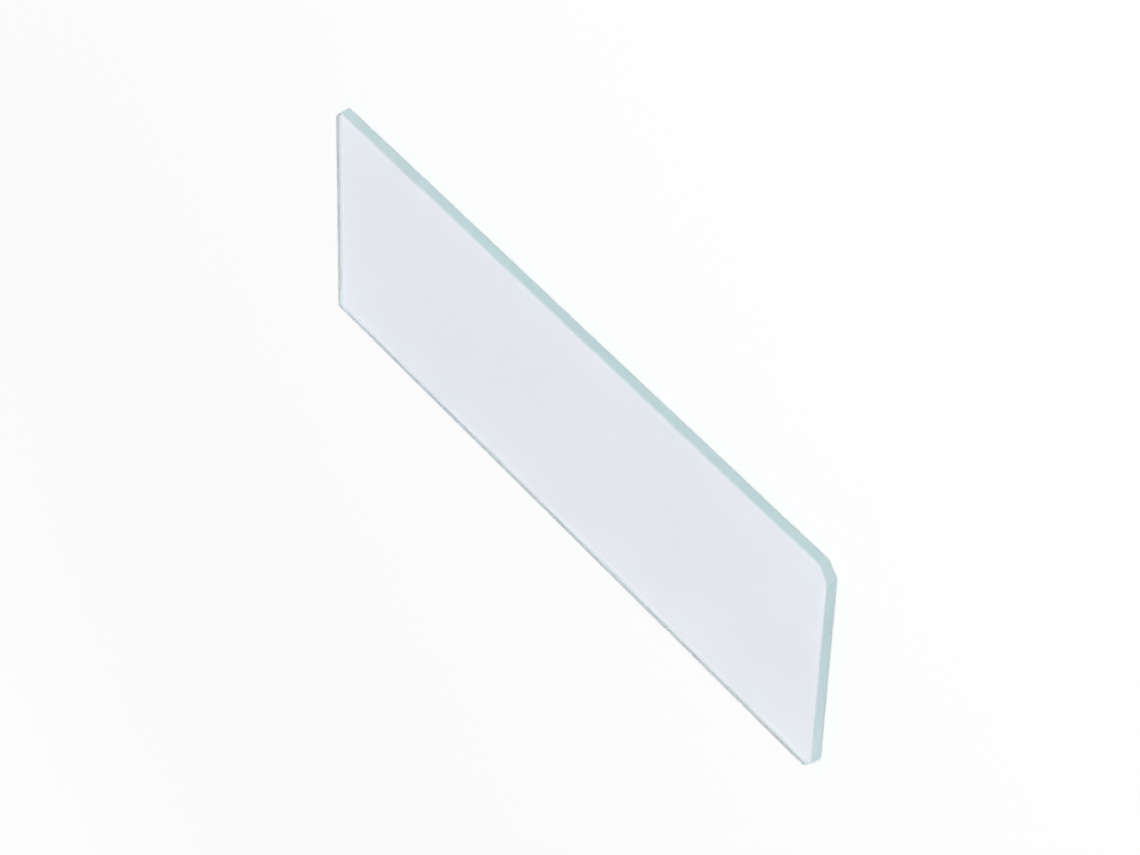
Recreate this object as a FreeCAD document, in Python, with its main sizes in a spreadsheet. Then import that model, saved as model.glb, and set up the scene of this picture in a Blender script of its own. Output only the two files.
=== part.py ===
import FreeCAD, Part
import os
import Sketcher

# A plain microscope slide: one piece of clear float glass, three inches by one inch.
# It lies flat. X runs along its length, Y across its width and Z up through the glass.
# The origin is the middle of the face that it lies on.
# Right is +X, left is -X, far is +Y and near is -Y.
# Three corners are clipped, each by its own amount, and the near left one is only rounded.

sizes = {
    "slide_length": 76.2,
    "slide_width": 25.4,
    "slide_thickness": 1.1,
    # how far each clip reaches along the length and across the width
    "far_right_along": 1.3,
    "far_right_across": 1.35,
    "near_right_along": 1.05,
    "near_right_across": 1.35,
    "far_left_along": 0.9,
    "far_left_across": 1.05,
    # radius where a clip meets the straight edges, and of the corner with no clip
    "clip_rounding": 0.6,
    "near_left_rounding": 0.3,
    # width of the bevel ground all round both faces
    "arris_width": 0.12,
}

same = Part.Precision.confusion()  # nearer than this is the same
doc = FreeCAD.newDocument("microscope_slide")

# ---- the sheet that drives every size ----
sheet = doc.addObject("Spreadsheet::Sheet", "Sizes")
for row, (alias, value) in enumerate(sizes.items(), start=1):
    sheet.set("A%d" % row, alias)
    sheet.set("B%d" % row, str(value))
    sheet.setAlias("B%d" % row, alias)
doc.recompute()

# ---- the outline: seven straight sides, each ending where the next begins ----
half_length = sheet.slide_length / 2
half_width = sheet.slide_width / 2
corners = {
    "near_left": (-half_length, -half_width),
    "near_right_start": (half_length - sheet.near_right_along, -half_width),
    "near_right_end": (half_length, -half_width + sheet.near_right_across),
    "far_right_start": (half_length, half_width - sheet.far_right_across),
    "far_right_end": (half_length - sheet.far_right_along, half_width),
    "far_left_start": (-half_length + sheet.far_left_along, half_width),
    "far_left_end": (-half_length, half_width - sheet.far_left_across),
}
names = list(corners)
points = [FreeCAD.Vector(x, y, 0) for x, y in corners.values()]

body = doc.addObject("PartDesign::Body", "GlassSlide")
body.Label = "glass_slide"
ground_plane = next(part for part in body.Origin.OriginFeatures if part.Role == "XY_Plane")

outline = body.newObject("Sketcher::SketchObject", "Outline")
outline.AttachmentSupport = (ground_plane, [""])
outline.MapMode = "FlatFace"
for number, start in enumerate(points):
    outline.addGeometry(Part.LineSegment(start, points[(number + 1) % len(points)]))
for number in range(len(points)):
    outline.addConstraint(Sketcher.Constraint("Coincident", number, 2, (number + 1) % len(points), 1))

near_side, right_end, far_side, left_end = 0, 2, 4, 6
outline.addConstraint(Sketcher.Constraint("Horizontal", near_side))
outline.addConstraint(Sketcher.Constraint("Vertical", right_end))
outline.addConstraint(Sketcher.Constraint("Horizontal", far_side))
outline.addConstraint(Sketcher.Constraint("Vertical", left_end))


def hold(name, direction, first, second, expression):
    # keeps the second corner this far from the first (None is the origin) along X or Y
    ends = [(-1, 1) if corner is None else (names.index(corner), 1) for corner in (first, second)]
    start = FreeCAD.Vector() if first is None else points[names.index(first)]
    gap = points[names.index(second)] - start
    distance = gap.x if direction == "DistanceX" else gap.y
    number = outline.addConstraint(Sketcher.Constraint(direction, *ends[0], *ends[1], distance))
    outline.renameConstraint(number, name)
    outline.setExpression("Constraints." + name, expression)


hold("left", "DistanceX", None, "near_left", "-Sizes.slide_length / 2")
hold("near", "DistanceY", None, "near_left", "-Sizes.slide_width / 2")
hold("right", "DistanceX", None, "near_right_end", "Sizes.slide_length / 2")
hold("far", "DistanceY", None, "far_right_end", "Sizes.slide_width / 2")
hold("near_right_along", "DistanceX", "near_right_start", "near_right_end", "Sizes.near_right_along")
hold("near_right_across", "DistanceY", "near_right_start", "near_right_end", "Sizes.near_right_across")
hold("far_right_along", "DistanceX", "far_right_end", "far_right_start", "Sizes.far_right_along")
hold("far_right_across", "DistanceY", "far_right_start", "far_right_end", "Sizes.far_right_across")
hold("far_left_along", "DistanceX", "far_left_end", "far_left_start", "Sizes.far_left_along")
hold("far_left_across", "DistanceY", "far_left_end", "far_left_start", "Sizes.far_left_across")
doc.recompute()

# ---- the glass: the outline raised to the thickness ----
glass = body.newObject("PartDesign::Pad", "Glass")
glass.Profile = outline
glass.setExpression("Length", "Sizes.slide_thickness")
doc.recompute()


def uprightEdges(shape, chosen):
    # the names of the edges that stand at these corners of the outline
    found = []
    for number, edge in enumerate(shape.Edges, start=1):
        feet = [FreeCAD.Vector(vertex.X, vertex.Y, 0) for vertex in edge.Vertexes]
        upright = feet[0].isEqual(feet[-1], same)
        if upright and any(feet[0].isEqual(points[names.index(name)], same) for name in chosen):
            found.append("Edge%d" % number)
    return found


# ---- the rounding of the upright corners ----
clipped = [name for name in names if name != "near_left"]
clip_corners = body.newObject("PartDesign::Fillet", "ClipCorners")
clip_corners.Base = (glass, uprightEdges(glass.Shape, clipped))
clip_corners.setExpression("Radius", "Sizes.clip_rounding")
doc.recompute()

near_left_corner = body.newObject("PartDesign::Fillet", "NearLeftCorner")
near_left_corner.Base = (clip_corners, uprightEdges(clip_corners.Shape, ["near_left"]))
near_left_corner.setExpression("Radius", "Sizes.near_left_rounding")
doc.recompute()

# ---- the arris: a narrow bevel round the upper and the lower face ----
flat_faces = ["Face%d" % number for number, face in enumerate(near_left_corner.Shape.Faces, start=1)
              if abs(abs(face.normalAt(0, 0).z) - 1) < same]
arris = body.newObject("PartDesign::Chamfer", "Arris")
arris.Base = (near_left_corner, flat_faces)
arris.setExpression("Size", "Sizes.arris_width")
doc.recompute()
body.Tip = arris
doc.recompute()

# ---- tests, then the files ----
subparts = [body]
for thing in doc.Objects:
    if "Invalid" in thing.State or "Error" in thing.State:
        raise RuntimeError("%s did not compute: %s" % (thing.Label, thing.State))
if outline.solve() != 0 or not outline.FullyConstrained:
    raise RuntimeError("the outline is not fully held by its sizes")
for subpart in subparts:
    shape = subpart.Shape
    if shape.isNull() or not shape.isValid() or len(shape.Solids) != 1:
        raise RuntimeError("%s is not one sound solid" % subpart.Label)
if arris.Shape.Volume >= near_left_corner.Shape.Volume:
    raise RuntimeError("the arris took nothing off the edges")

os.makedirs("parts", exist_ok=True)
for subpart in subparts:
    subpart.Shape.exportStep("parts/%s.step" % subpart.Label)
    box = subpart.Shape.BoundBox
    print("%s: %.2f x %.2f x %.2f mm, %.1f cubic mm, %d faces" % (
        subpart.Label, box.XLength, box.YLength, box.ZLength, subpart.Shape.Volume,
        len(subpart.Shape.Faces)))
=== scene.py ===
import bpy
import math
from mathutils import Matrix, Vector


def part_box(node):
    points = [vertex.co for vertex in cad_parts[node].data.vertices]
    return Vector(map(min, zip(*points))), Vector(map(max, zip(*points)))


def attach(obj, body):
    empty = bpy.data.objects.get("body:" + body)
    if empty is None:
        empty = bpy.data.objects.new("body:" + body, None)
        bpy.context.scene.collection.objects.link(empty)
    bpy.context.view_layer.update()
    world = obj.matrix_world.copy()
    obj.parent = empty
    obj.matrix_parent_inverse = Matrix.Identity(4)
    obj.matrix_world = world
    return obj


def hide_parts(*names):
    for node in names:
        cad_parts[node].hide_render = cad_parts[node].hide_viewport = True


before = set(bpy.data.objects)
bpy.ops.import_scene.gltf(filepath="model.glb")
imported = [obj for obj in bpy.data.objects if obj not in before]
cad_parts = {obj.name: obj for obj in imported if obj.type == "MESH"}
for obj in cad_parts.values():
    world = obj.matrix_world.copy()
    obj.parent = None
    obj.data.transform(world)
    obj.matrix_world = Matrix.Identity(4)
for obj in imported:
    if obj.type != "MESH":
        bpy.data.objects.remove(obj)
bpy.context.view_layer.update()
slideLow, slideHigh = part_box("glass_slide")
print("frame loaded: the slide is %.1f mm long" % ((slideHigh[0] - slideLow[0]) * 1000))

scene = bpy.context.scene
scene.view_settings.view_transform = "Standard"
# light runs the length of the slide by bouncing between its faces, so it needs many bounces
bounces = {"inGlass": 128, "offMatt": 4}
scene.cycles.max_bounces = bounces["inGlass"]
scene.cycles.glossy_bounces = bounces["inGlass"]
scene.cycles.transmission_bounces = bounces["inGlass"]
scene.cycles.diffuse_bounces = bounces["offMatt"]
white = (1, 1, 1, 1)


def put(tree, kind, feeds=None, **settings):
    # adds a node: feeds gives an input, by its name or place, a value or another node's output
    node = tree.nodes.new(kind)
    for name, value in settings.items():
        setattr(node, name, value)
    for place, value in (feeds or {}).items():
        if isinstance(value, bpy.types.NodeSocket):
            tree.links.new(value, node.inputs[place])
        else:
            node.inputs[place].default_value = value
    return node


def freshMaterial(name):
    material = bpy.data.materials.new(name)
    material.use_nodes = True
    material.node_tree.nodes.clear()
    return material, material.node_tree


def seenRays(tree):
    # 1 for what the eye meets: straight, mirrored in the glass or through it
    rays = put(tree, "ShaderNodeLightPath").outputs
    straight, mirrored, through = rays["Is Camera Ray"], rays["Is Glossy Ray"], rays["Is Transmission Ray"]
    either = put(tree, "ShaderNodeMath", {0: straight, 1: mirrored}, operation="MAXIMUM").outputs[0]
    return put(tree, "ShaderNodeMath", {0: either, 1: through}, operation="MAXIMUM").outputs[0]


glassLook = {
    "ior": 1.52,
    "tint": (0.15, 0.68, 0.64, 1),      # what is left of the light, seen through a lot of glass
    "density": 10.0,
    "groundColour": (0.78, 0.95, 0.957, 1),
    "groundRoughness": 1.0,             # where the glass is fully ground
    "frosting": 0.45,                   # the share of light that a frosted surface scatters
    "streaks": (70, 70, 3200),          # the grinding wheel's lines run round the slide
    "streakDetail": 3.0,
    "grain": 5000,
    "grainDetail": 2.0,
    "grainAmongStreaks": 0.35,          # the grain's share of the marks
    "markRange": (0.25, 0.75),          # the noise values that count as no mark and as a full one
    "streakShare": 0.25,                # how much the marks change the roughness
    "streakHeight": 0.000002,
    "smearEvery": 90,                   # a faint wipe mark on the faces
    "smearDetail": 4.0,
    "smearCurl": 0.6,
    "smearRange": (0.52, 0.75),
    "smear": 0.03,
}


def makeGlass():
    material, tree = freshMaterial("clearGlass")
    place = put(tree, "ShaderNodeTexCoord").outputs["Object"]
    ground = put(tree, "ShaderNodeAttribute", attribute_name="ground").outputs["Fac"]
    frosted = put(tree, "ShaderNodeAttribute", attribute_name="frosted").outputs["Fac"]

    stretched = put(tree, "ShaderNodeMapping", {"Vector": place, "Scale": glassLook["streaks"]}).outputs[0]
    streaks = put(tree, "ShaderNodeTexNoise", {"Vector": stretched, "Scale": 1.0,
                                               "Detail": glassLook["streakDetail"]}).outputs["Fac"]
    grain = put(tree, "ShaderNodeTexNoise", {"Vector": place, "Scale": glassLook["grain"],
                                             "Detail": glassLook["grainDetail"]}).outputs["Fac"]
    marks = put(tree, "ShaderNodeMix", {0: glassLook["grainAmongStreaks"], 2: streaks, 3: grain}).outputs[0]
    noMark, fullMark = glassLook["markRange"]
    share = put(tree, "ShaderNodeMapRange", {"Value": marks, "From Min": noMark, "From Max": fullMark,
                                             "To Min": 1 - glassLook["streakShare"],
                                             "To Max": 1 + glassLook["streakShare"]}).outputs[0]
    uneven = put(tree, "ShaderNodeMath", {0: ground, 1: share}, operation="MULTIPLY").outputs[0]

    wiped = put(tree, "ShaderNodeTexNoise", {"Vector": place, "Scale": glassLook["smearEvery"],
                                             "Detail": glassLook["smearDetail"],
                                             "Distortion": glassLook["smearCurl"]}).outputs["Fac"]
    noSmear, fullSmear = glassLook["smearRange"]
    smear = put(tree, "ShaderNodeMapRange", {"Value": wiped, "From Min": noSmear, "From Max": fullSmear,
                                             "To Max": glassLook["smear"]}).outputs[0]
    roughness = put(tree, "ShaderNodeMath", {0: uneven, 1: glassLook["groundRoughness"], 2: smear},
                    operation="MULTIPLY_ADD").outputs[0]
    frosty = put(tree, "ShaderNodeMath", {0: frosted, 1: share}, operation="MULTIPLY").outputs[0]
    clear = put(tree, "ShaderNodeMath", {0: frosty, 1: -glassLook["frosting"], 2: 1.0},
                operation="MULTIPLY_ADD", use_clamp=True).outputs[0]
    colour = put(tree, "ShaderNodeMix", {0: ground, 6: white, 7: glassLook["groundColour"]},
                 data_type="RGBA").outputs[2]
    bump = put(tree, "ShaderNodeBump", {"Strength": ground, "Distance": glassLook["streakHeight"],
                                        "Height": marks}).outputs[0]

    glass = put(tree, "ShaderNodeBsdfPrincipled", {"IOR": glassLook["ior"], "Roughness": roughness,
                                                   "Transmission Weight": clear, "Base Color": colour,
                                                   "Normal": bump}).outputs[0]
    depth = put(tree, "ShaderNodeVolumeAbsorption", {"Color": glassLook["tint"],
                                                     "Density": glassLook["density"]}).outputs[0]
    put(tree, "ShaderNodeOutputMaterial", {"Surface": glass, "Volume": depth})
    return material


slideShape = {
    "rounding": 0.0006,             # where a clip meets the straight edges
    "nearLeftRounding": 0.0003,
    "roundingSteps": 6,
    "arris": 0.00012,               # the bevel ground round both faces
    "uneven": 0.15,                 # how much the arris's width wanders, as a share
    "unevenNoise": (70.0, 1.0),     # scale and detail
    "ragged": 0.05,                 # how ragged its border is, as a share
    "raggedNoise": (1900.0, 2.0),
    "noiseGain": 4.0,               # noise strays about a quarter from its middle, so this makes it whole
    "spacing": 0.00025,
    "weld": 0.000002,
    "chipAside": 0.005,             # how far from the middle of the right end's lower rim
    "chipReach": 0.00035,
    "chipDepth": 0.00014,
    "smoothBelow": 25,              # degrees between faces
}
# what tells the surfaces of the edge apart is the direction that they face
bevelUpright = 0.3     # the arris faces up or down by more than this
straightAlong = 0.98   # a clip faces along neither axis by as much as this
# how far each clip reaches along the length and across the width
clips = {
    "farRight": (0.0013, 0.00135),
    "nearRight": (0.00105, 0.00135),
    "farLeft": (0.0009, 0.00105),
}
# how rough each surface is ground and how frosted that leaves it; the two faces are polished. The near and
# left sides, which face away from the lamp, are left clearer than the far and right ones, and their walls
# paler: partly a real ground finish, partly painted light that lightens their shade
grind = {
    "farAndRight": (0.95, 0.78),
    "nearAndLeft": (0.7, 0.0),
    "clips": (1.0, 1.0),
    "farAndRightArris": (0.6, 0.6),
    "nearAndLeftArris": (0.6, 0.0),
}


def outlineCorners():
    # the corners in turn round the slide, each with the rounding it gets
    left, near, _ = slideLow
    right, far, _ = slideHigh
    rounding = slideShape["rounding"]
    along, across = clips["nearRight"]
    corners = [((left, near), slideShape["nearLeftRounding"])]
    corners += [((right - along, near), rounding), ((right, near + across), rounding)]
    along, across = clips["farRight"]
    corners += [((right, far - across), rounding), ((right - along, far), rounding)]
    along, across = clips["farLeft"]
    corners += [((left + along, far), rounding), ((left, far - across), rounding)]
    return corners


def slideTree():
    # a plate made from its outline: the ground edge is swept round it, then both faces are filled in
    tree = bpy.data.node_groups.new("groundPlate", "GeometryNodeTree")
    tree.interface.new_socket("Geometry", in_out="INPUT", socket_type="NodeSocketGeometry")
    labels = ["Thickness", "Arris", "Spacing", "Uneven", "Ragged", "Chip reach", "Chip depth"]
    for surface in grind:
        labels += [surface + " ground", surface + " frosted"]
    for label in labels:
        tree.interface.new_socket(label, in_out="INPUT", socket_type="NodeSocketFloat")
    tree.interface.new_socket("Chip place", in_out="INPUT", socket_type="NodeSocketVector")
    tree.interface.new_socket("Glass", in_out="INPUT", socket_type="NodeSocketMaterial")
    tree.interface.new_socket("Geometry", in_out="OUTPUT", socket_type="NodeSocketGeometry")
    given = put(tree, "NodeGroupInput").outputs

    def maths(operation, *values):
        return put(tree, "ShaderNodeMath", dict(enumerate(values)), operation=operation).outputs[0]

    def vectors(operation, *values):
        made = put(tree, "ShaderNodeVectorMath", dict(enumerate(values)), operation=operation)
        return made.outputs["Value" if operation == "DISTANCE" else "Vector"]

    def pick(index, values):
        node = put(tree, "GeometryNodeIndexSwitch", data_type="VECTOR")
        while len(node.index_switch_items) < len(values):
            node.index_switch_items.new()
        tree.links.new(index, node.inputs[0])
        for number, value in enumerate(values):
            tree.links.new(value, node.inputs[number + 1])
        return node.outputs[0]

    def choose(wanted, this, otherwise):
        return put(tree, "ShaderNodeMix", {0: wanted, 2: otherwise, 3: this}).outputs[0]

    def spot(x=0.0, y=0.0, z=0.0):
        return put(tree, "ShaderNodeCombineXYZ", {0: x, 1: y, 2: z}).outputs[0]

    index = put(tree, "GeometryNodeInputIndex").outputs[0]
    position = put(tree, "GeometryNodeInputPosition").outputs[0]
    thick, arris = given["Thickness"], given["Arris"]

    # the outline, with its corners rounded and its straights divided
    line = put(tree, "GeometryNodeMeshToCurve", {"Mesh": given["Geometry"]}).outputs[0]
    rounding = put(tree, "GeometryNodeInputNamedAttribute", {"Name": "rounding"},
                   data_type="FLOAT").outputs[0]
    rounded = put(tree, "GeometryNodeFilletCurve",
                  {"Curve": line, "Radius": rounding, "Count": slideShape["roundingSteps"]},
                  mode="POLY").outputs[0]
    following = put(tree, "GeometryNodeOffsetPointInCurve", {"Point Index": index, "Offset": 1}).outputs[1]
    nextPlace = put(tree, "GeometryNodeFieldAtIndex", data_type="FLOAT_VECTOR")
    tree.links.new(position, nextPlace.inputs[0])
    tree.links.new(following, nextPlace.inputs[1])
    gap = vectors("DISTANCE", position, nextPlace.outputs[0])
    cuts = maths("FLOOR", maths("DIVIDE", gap, given["Spacing"]))
    divided = put(tree, "GeometryNodeSubdivideCurve", {"Curve": rounded, "Cuts": cuts}).outputs[0]
    tangent = put(tree, "GeometryNodeInputTangent").outputs[0]
    outward = vectors("CROSS_PRODUCT", tangent, spot(z=1.0))
    kept = put(tree, "GeometryNodeStoreNamedAttribute",
               {"Geometry": divided, "Name": "outward", "Value": outward},
               data_type="FLOAT_VECTOR").outputs[0]
    upright = put(tree, "GeometryNodeSetCurveNormal", {"Curve": kept}, mode="Z_UP").outputs[0]

    # the section of the edge, from the top face down; along an upright curve y counts downwards
    stops = put(tree, "GeometryNodeMeshLine", {"Count": 4}).outputs[0]
    inner = maths("MULTIPLY", arris, -1.0)
    top = maths("MULTIPLY", thick, -1.0)
    topBorder, topRim = spot(x=inner, y=top), spot(y=maths("ADD", top, arris))
    section = pick(index, [topBorder, topRim, spot(y=inner), spot(x=inner)])
    placed = put(tree, "GeometryNodeSetPosition", {"Geometry": stops, "Position": section}).outputs[0]
    named = put(tree, "GeometryNodeStoreNamedAttribute",
                {"Geometry": placed, "Name": "layer", "Value": index}, data_type="FLOAT").outputs[0]
    profile = put(tree, "GeometryNodeMeshToCurve", {"Mesh": named}).outputs[0]
    swept = put(tree, "GeometryNodeCurveToMesh", {"Curve": upright, "Profile Curve": profile}).outputs[0]

    # the arris is wider in some places than in others, with a ragged border and one small chip
    layer = put(tree, "GeometryNodeInputNamedAttribute", {"Name": "layer"}, data_type="FLOAT").outputs[0]
    # the top bevel's two lines get side 0 and the lower one's 1, so that each has its own noise
    side = maths("FLOOR", maths("DIVIDE", maths("ADD", layer, 0.25), 2.0))
    away = vectors("ADD", position, spot(z=side))

    def strays(noise, amount):
        scale, detail = noise
        made = put(tree, "ShaderNodeTexNoise", {"Vector": away, "Scale": scale, "Detail": detail})
        gain = maths("MULTIPLY", amount, slideShape["noiseGain"])
        return maths("MULTIPLY", maths("SUBTRACT", made.outputs["Fac"], 0.5), gain)

    wander = strays(slideShape["unevenNoise"], given["Uneven"])
    rough = strays(slideShape["raggedNoise"], given["Ragged"])
    wider = maths("MULTIPLY", maths("ADD", wander, rough), arris)
    apart = vectors("DISTANCE", position, given["Chip place"])
    chip = put(tree, "ShaderNodeMapRange", {"Value": apart, "From Min": 0.0, "From Max": given["Chip reach"],
                                            "To Min": given["Chip depth"], "To Max": 0.0},
               interpolation_type="SMOOTHSTEP").outputs[0]
    extra = maths("ADD", wider, chip)
    lessened = maths("MULTIPLY", extra, -1.0)
    pushed = put(tree, "GeometryNodeInputNamedAttribute", {"Name": "outward"},
                 data_type="FLOAT_VECTOR").outputs[0]
    drawnIn = put(tree, "ShaderNodeVectorMath", {0: pushed, "Scale": lessened}, operation="SCALE").outputs[0]
    shift = pick(maths("ROUND", layer), [drawnIn, spot(z=lessened), spot(z=extra), drawnIn])
    edge = put(tree, "GeometryNodeSetPosition", {"Geometry": swept, "Offset": shift}).outputs[0]

    # how heavily each face of the edge is ground; the sides facing away from the lamp get the clearer, paler
    # finish, which is partly painted light on their shade
    normal = put(tree, "ShaderNodeSeparateXYZ", {0: put(tree, "GeometryNodeInputNormal").outputs[0]}).outputs
    bevelled = maths("GREATER_THAN", maths("ABSOLUTE", normal["Z"]), bevelUpright)
    along = maths("MAXIMUM", maths("ABSOLUTE", normal["X"]), maths("ABSOLUTE", normal["Y"]))
    askew = maths("LESS_THAN", along, straightAlong)
    # the far and right sides, turned towards the lamp and the eye; the others get the lighter finish that is
    # painted light
    facingLamp = maths("GREATER_THAN", maths("ADD", normal["X"], normal["Y"]), 0.0)
    for kind in ("ground", "frosted"):
        wall = choose(facingLamp, given["farAndRight " + kind], given["nearAndLeft " + kind])
        wall = choose(askew, given["clips " + kind], wall)
        bevel = choose(facingLamp, given["farAndRightArris " + kind], given["nearAndLeftArris " + kind])
        amount = choose(bevelled, bevel, wall)
        edge = put(tree, "GeometryNodeStoreNamedAttribute",
                   {"Geometry": edge, "Name": kind, "Value": amount},
                   data_type="FLOAT", domain="FACE").outputs[0]

    # the two polished faces, filled flat and the top one lifted
    neighbours = put(tree, "GeometryNodeInputMeshEdgeNeighbors").outputs[0]
    border = put(tree, "FunctionNodeCompare", {"A": neighbours, "B": 1},
                 data_type="INT", operation="EQUAL").outputs[0]
    height = put(tree, "ShaderNodeSeparateXYZ", {0: position}).outputs["Z"]
    joined = put(tree, "GeometryNodeJoinGeometry")
    tree.links.new(edge, joined.inputs[0])
    for comparison in ("GREATER_THAN", "LESS_THAN"):
        level = maths(comparison, height, maths("MULTIPLY", thick, 0.5))
        wanted = put(tree, "FunctionNodeBooleanMath", {0: border, 1: level}, operation="AND").outputs[0]
        rim = put(tree, "GeometryNodeMeshToCurve", {"Mesh": edge, "Selection": wanted}).outputs[0]
        face = put(tree, "GeometryNodeFillCurve", {"Curve": rim}, mode="NGONS").outputs[0]
        if comparison == "LESS_THAN":
            face = put(tree, "GeometryNodeFlipFaces", {"Mesh": face}).outputs[0]
        else:
            lift = spot(z=thick)
            face = put(tree, "GeometryNodeSetPosition", {"Geometry": face, "Offset": lift}).outputs[0]
        tree.links.new(face, joined.inputs[0])
    merged = put(tree, "GeometryNodeMergeByDistance", {"Geometry": joined.outputs[0],
                                                       "Distance": slideShape["weld"]}).outputs[0]
    real = put(tree, "GeometryNodeRealizeInstances", {"Geometry": merged}).outputs[0]
    finished = put(tree, "GeometryNodeSetMaterial",
                   {"Geometry": real, "Material": given["Glass"]}).outputs[0]
    put(tree, "NodeGroupOutput", {"Geometry": finished})
    return tree


def makeSlide(glass):
    corners = outlineCorners()
    mesh = bpy.data.meshes.new("slideOutline")
    count = len(corners)
    mesh.from_pydata([(x, y, slideLow[2]) for (x, y), _ in corners],
                     [(number, (number + 1) % count) for number in range(count)], [])
    rounding = mesh.attributes.new("rounding", "FLOAT", "POINT")
    rounding.data.foreach_set("value", [radius for _, radius in corners])
    mesh.materials.append(glass)
    outline = bpy.data.objects.new("slideOutline", mesh)
    scene.collection.objects.link(outline)
    grown = outline.modifiers.new("groundPlate", "NODES")
    grown.node_group = slideTree()
    values = {
        "Thickness": slideHigh[2] - slideLow[2],
        "Arris": slideShape["arris"],
        "Spacing": slideShape["spacing"],
        "Uneven": slideShape["uneven"],
        "Ragged": slideShape["ragged"],
        "Chip reach": slideShape["chipReach"],
        "Chip depth": slideShape["chipDepth"],
        "Chip place": (slideHigh[0], slideShape["chipAside"], slideLow[2]),
        "Glass": glass,
    }
    for surface, amounts in grind.items():
        values[surface + " ground"], values[surface + " frosted"] = amounts
    for socket in grown.node_group.interface.items_tree:
        if socket.in_out == "INPUT" and socket.name in values:
            grown[socket.identifier] = values[socket.name]
    ready = outline.evaluated_get(bpy.context.evaluated_depsgraph_get())
    body = bpy.data.meshes.new_from_object(ready)
    body.name = "slideBody"
    outline.modifiers.clear()
    bpy.data.objects.remove(outline)
    for name in ("layer", "outward", "rounding"):
        if name in body.attributes:
            body.attributes.remove(body.attributes[name])
    body.materials.clear()   # the tree leaves an empty slot before the glass
    body.materials.append(glass)
    for polygon in body.polygons:
        polygon.use_smooth = True
    body.set_sharp_from_angle(angle=math.radians(slideShape["smoothBelow"]))
    piece = bpy.data.objects.new("slideBody", body)
    scene.collection.objects.link(piece)
    return piece


slideBody = makeSlide(makeGlass())
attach(slideBody, "root")
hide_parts("glass_slide")
print("slide made: %d points" % len(slideBody.data.vertices))

floorLook = {
    "across": 6.0,
    "below": 0.00004,       # the slide rests on its high spots
    "colour": (0.90, 0.90, 0.90, 1),
    "fade": (0.05, 0.25),   # how far out it turns into the white background
}


def makeFloor():
    half = floorLook["across"] / 2
    level = slideLow[2] - floorLook["below"]
    corners = [(x * half, y * half, level) for x, y in ((-1, -1), (1, -1), (1, 1), (-1, 1))]
    mesh = bpy.data.meshes.new("floor")
    mesh.from_pydata(corners, [], [(0, 1, 2, 3)])
    floor = bpy.data.objects.new("floor", mesh)
    scene.collection.objects.link(floor)
    material, tree = freshMaterial("paleFloor")
    matt = put(tree, "ShaderNodeBsdfDiffuse", {"Color": floorLook["colour"]}).outputs[0]
    backdrop = put(tree, "ShaderNodeEmission", {"Color": white, "Strength": 1.0}).outputs[0]
    place = put(tree, "ShaderNodeTexCoord").outputs["Object"]
    away = put(tree, "ShaderNodeVectorMath", {0: place}, operation="LENGTH").outputs["Value"]
    start, end = floorLook["fade"]
    faded = put(tree, "ShaderNodeMapRange", {"Value": away, "From Min": start, "From Max": end},
                interpolation_type="SMOOTHSTEP").outputs[0]
    seen = put(tree, "ShaderNodeMixShader", {0: faded, 1: matt, 2: backdrop}).outputs[0]
    shown = put(tree, "ShaderNodeMixShader", {0: seenRays(tree), 1: matt, 2: seen}).outputs[0]
    put(tree, "ShaderNodeOutputMaterial", {"Surface": shown})
    floor.data.materials.append(material)


makeFloor()

lightPlan = {
    "ambient": 0.55,
    # what the glass mirrors, from the horizon up
    "sky": [(0.10, (1.0, 1.0, 1.0, 1)), (0.34, (0.82, 0.87, 1.0, 1)),
            (0.55, (0.82, 0.87, 1.0, 1)), (0.80, (0.85, 0.85, 0.85, 1))],
    "lampPower": 11.4,
    "lampAcross": 0.7,
    "lampPlace": (0.25, 0.35, 1.3),
}


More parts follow.
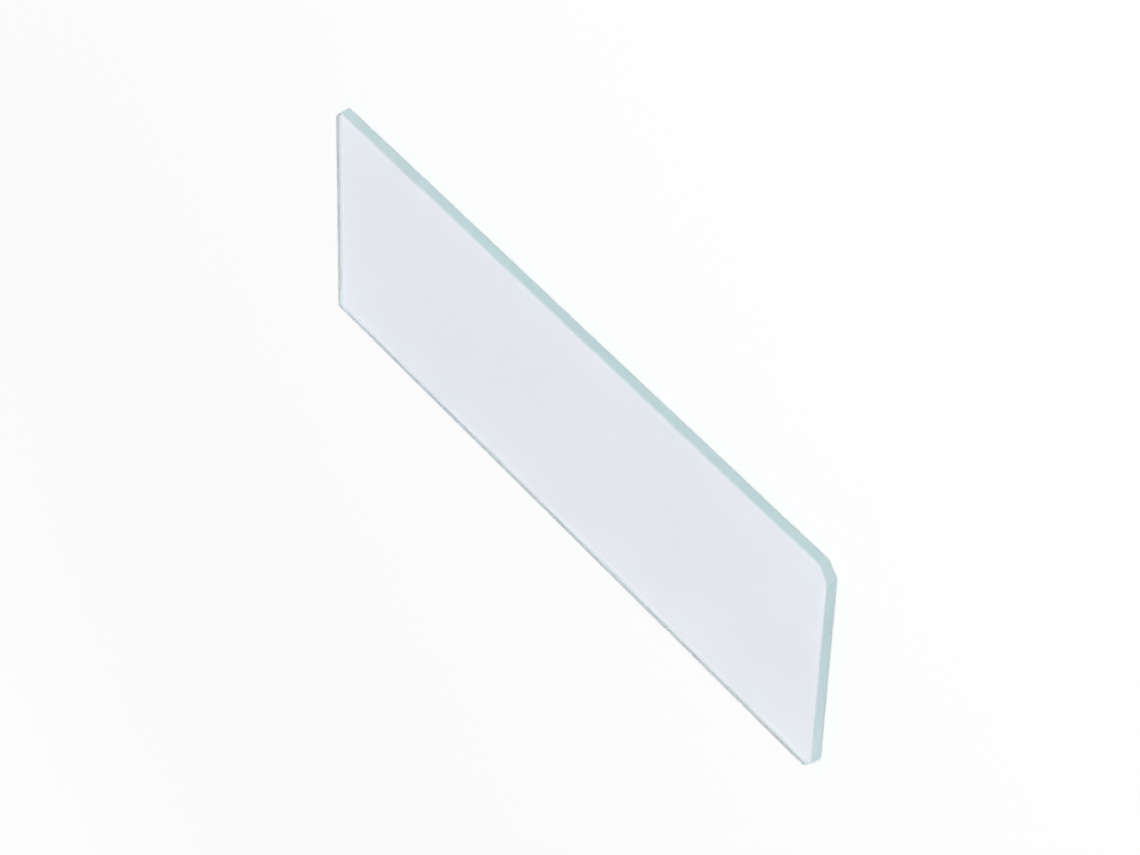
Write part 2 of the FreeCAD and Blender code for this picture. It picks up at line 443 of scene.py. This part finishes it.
def makeWorld():
    world = bpy.data.worlds.new("studio")
    scene.world = world
    world.use_nodes = True
    tree = world.node_tree
    tree.nodes.clear()
    place = put(tree, "ShaderNodeTexCoord").outputs["Generated"]
    height = put(tree, "ShaderNodeSeparateXYZ", {0: place}).outputs["Z"]
    ramp = put(tree, "ShaderNodeValToRGB", {0: height})
    stops = ramp.color_ramp.elements
    first, *others = lightPlan["sky"]
    stops.remove(stops[1])
    stops[0].position, stops[0].color = first
    for position, colour in others:
        stops.new(position).color = colour
    mirrored = put(tree, "ShaderNodeBackground", {"Color": ramp.outputs[0], "Strength": 1.0}).outputs[0]
    plain = put(tree, "ShaderNodeBackground", {"Color": white, "Strength": lightPlan["ambient"]}).outputs[0]
    shown = put(tree, "ShaderNodeMixShader", {0: seenRays(tree), 1: plain, 2: mirrored}).outputs[0]
    put(tree, "ShaderNodeOutputWorld", {"Surface": shown})


def makeLamp():
    data = bpy.data.lights.new("softbox", "AREA")
    data.shape = "SQUARE"
    data.size = lightPlan["lampAcross"]
    data.energy = lightPlan["lampPower"]
    lamp = bpy.data.objects.new("softbox", data)
    lamp.location = lightPlan["lampPlace"]
    lamp.rotation_euler = (-lamp.location).to_track_quat("-Z", "Y").to_euler()
    scene.collection.objects.link(lamp)


makeWorld()
makeLamp()
print("floor and light made")

cameraPlan = {
    "place": (0.24551, 0.28855, 0.18671),
    "rightwards": (0.6137, 0.0599, -0.7873),   # what runs to the right of the picture
    "lens": 144.0,
    "sensor": 36.0,
    "clip": (0.01, 20.0),
}


def makeCamera():
    data = bpy.data.cameras.new("camera")
    data.lens = cameraPlan["lens"]
    data.sensor_width = cameraPlan["sensor"]
    data.clip_start, data.clip_end = cameraPlan["clip"]
    camera = bpy.data.objects.new("camera", data)
    centre = (Vector(slideLow) + Vector(slideHigh)) / 2
    back = (Vector(cameraPlan["place"]) - centre).normalized()
    right = Vector(cameraPlan["rightwards"])
    right = (right - back * right.dot(back)).normalized()
    up = back.cross(right)
    turn = Matrix((right, up, back)).transposed()
    camera.matrix_world = Matrix.Translation(cameraPlan["place"]) @ turn.to_4x4()
    scene.collection.objects.link(camera)
    scene.camera = camera


makeCamera()
print("camera placed")
